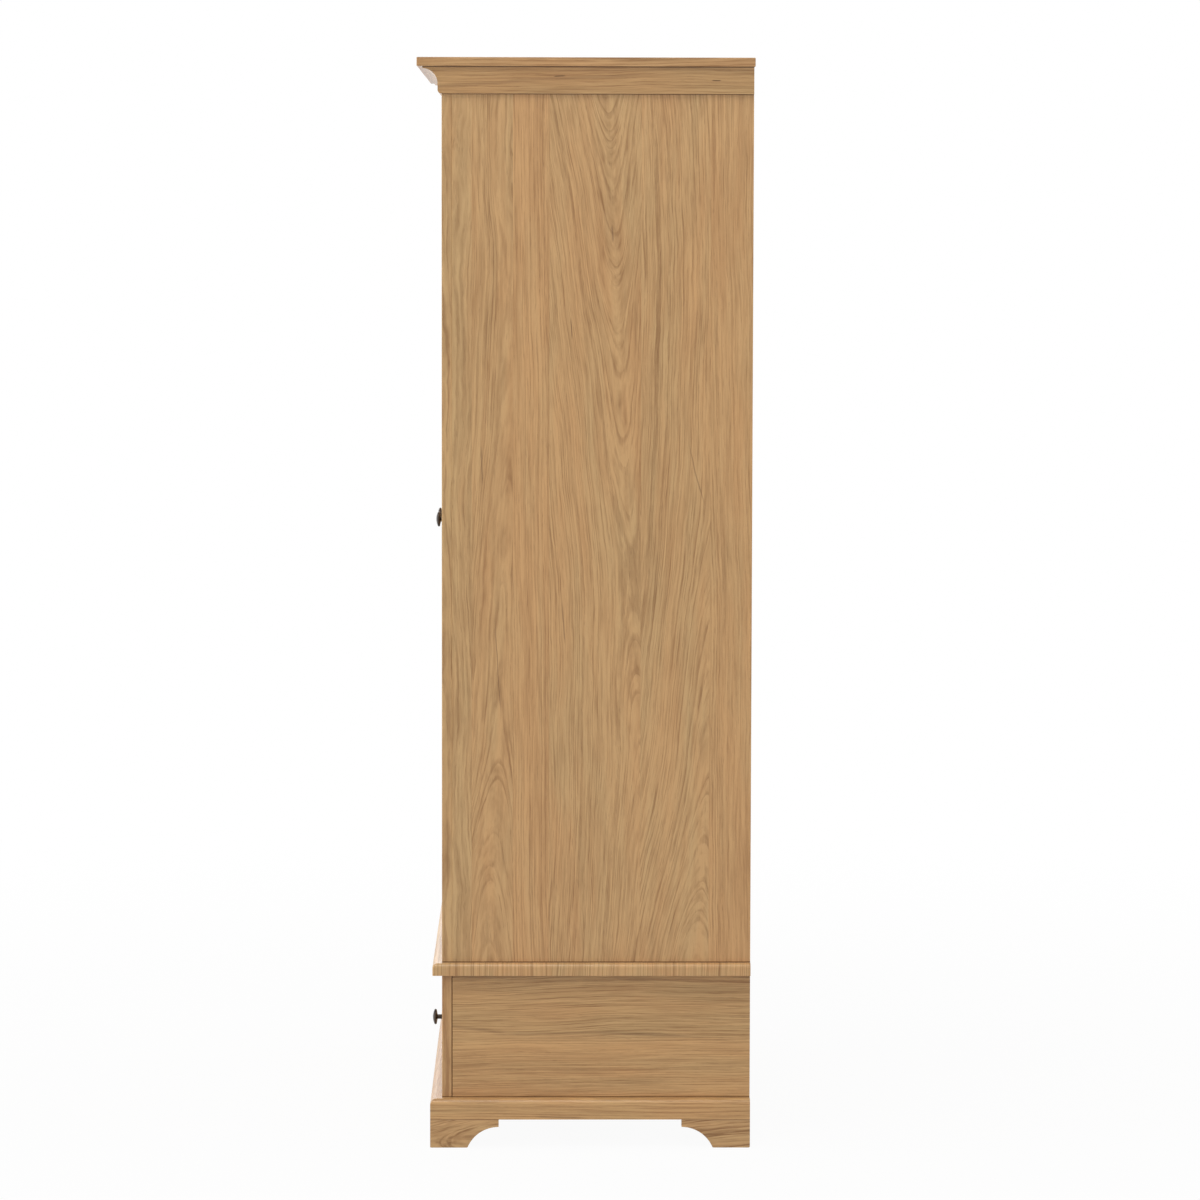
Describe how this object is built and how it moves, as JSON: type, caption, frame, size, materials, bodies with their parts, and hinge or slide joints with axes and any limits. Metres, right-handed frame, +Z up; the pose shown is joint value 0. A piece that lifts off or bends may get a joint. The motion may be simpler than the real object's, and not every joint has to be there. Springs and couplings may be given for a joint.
{
  "type": "wardrobe",
  "caption": "Free-standing oak wardrobe: framed doors on butt hinges over a full-width drawer, with a coved cornice, waist board, plinth and bracket feet.",
  "frame": {"origin": "on the floor, at the middle of the width and at the middle of the top board's depth", "axes": "+X to the right as seen from the front, +Y to the back (the doors face -Y), +Z up"},
  "size_m": [1.1, 0.6, 1.95],
  "materials": {
    "oak": "light oak, satin lacquer",
    "drawer_lining": "pale unfinished oak, planed",
    "back_board": "thin veneered board, matt",
    "dark_bronze": "dark antique bronze, rubbed at the rim",
    "hinge_bronze": "aged bronze",
    "rail_chrome": "bright chrome",
    "strike_steel": "plain steel",
    "catch_plastic": "brown moulded plastic"
  },
  "bodies": {
    "carcass": {"base_back": "back_board", "base_dust_board": "back_board", "base_left_side": "oak", "base_left_stile": "oak", "base_right_side": "oak", "base_right_stile": "oak", "cornice_back_rail": "oak", "cornice_cove": "oak", "door_catches": "catch_plastic", "drawer_runners": "drawer_lining", "foot_front_left": "oak", "foot_front_right": "oak", "foot_rear_left": "oak", "foot_rear_right": "oak", "frieze_left": "oak", "frieze_right": "oak", "hanging_rail": "rail_chrome", "hinge_frame_leaves": "hinge_bronze", "hinge_pins": "hinge_bronze", "plinth_back_rail": "oak", "plinth_front_rail": "oak", "plinth_left_rail": "oak", "plinth_right_rail": "oak", "rail_sockets": "rail_chrome", "top_board": "oak", "upper_back": "back_board", "upper_centre_stile": "oak", "upper_left_side": "oak", "upper_left_stile": "oak", "upper_right_side": "oak", "upper_right_stile": "oak", "upper_top": "oak", "upper_top_rail": "oak", "waist_board": "oak"},
    "left_door": {"left_door_bottom_rail": "oak", "left_door_hinge_leaves": "hinge_bronze", "left_door_hinge_stile": "oak", "left_door_knob": "dark_bronze", "left_door_lower_panel": "oak", "left_door_meeting_stile": "oak", "left_door_mid_rail": "oak", "left_door_strikes": "strike_steel", "left_door_top_rail": "oak", "left_door_upper_panel": "oak"},
    "right_door": {"right_door_bottom_rail": "oak", "right_door_hinge_leaves": "hinge_bronze", "right_door_hinge_stile": "oak", "right_door_knob": "dark_bronze", "right_door_lower_panel": "oak", "right_door_meeting_stile": "oak", "right_door_mid_rail": "oak", "right_door_strikes": "strike_steel", "right_door_top_rail": "oak", "right_door_upper_panel": "oak"},
    "drawer": {"drawer_back": "drawer_lining", "drawer_bottom": "back_board", "drawer_front": "oak", "drawer_knobs": "dark_bronze", "drawer_left_side": "drawer_lining", "drawer_right_side": "drawer_lining"}
  },
  "joints": [
    {"name": "left_door_swing", "type": "hinge", "parent": "carcass", "child": "left_door", "pos_m": [-0.48275, -0.2548, 1.08725], "axis": [0, 0, -1], "range_deg": [0, 100]},
    {"name": "right_door_swing", "type": "hinge", "parent": "carcass", "child": "right_door", "pos_m": [0.48275, -0.2548, 1.08725], "axis": [0, 0, 1], "range_deg": [0, 100]},
    {"name": "drawer_slide", "type": "slide", "parent": "carcass", "child": "drawer", "axis": [0, -1, 0], "range_m": [0, 0.36]}
  ]
}
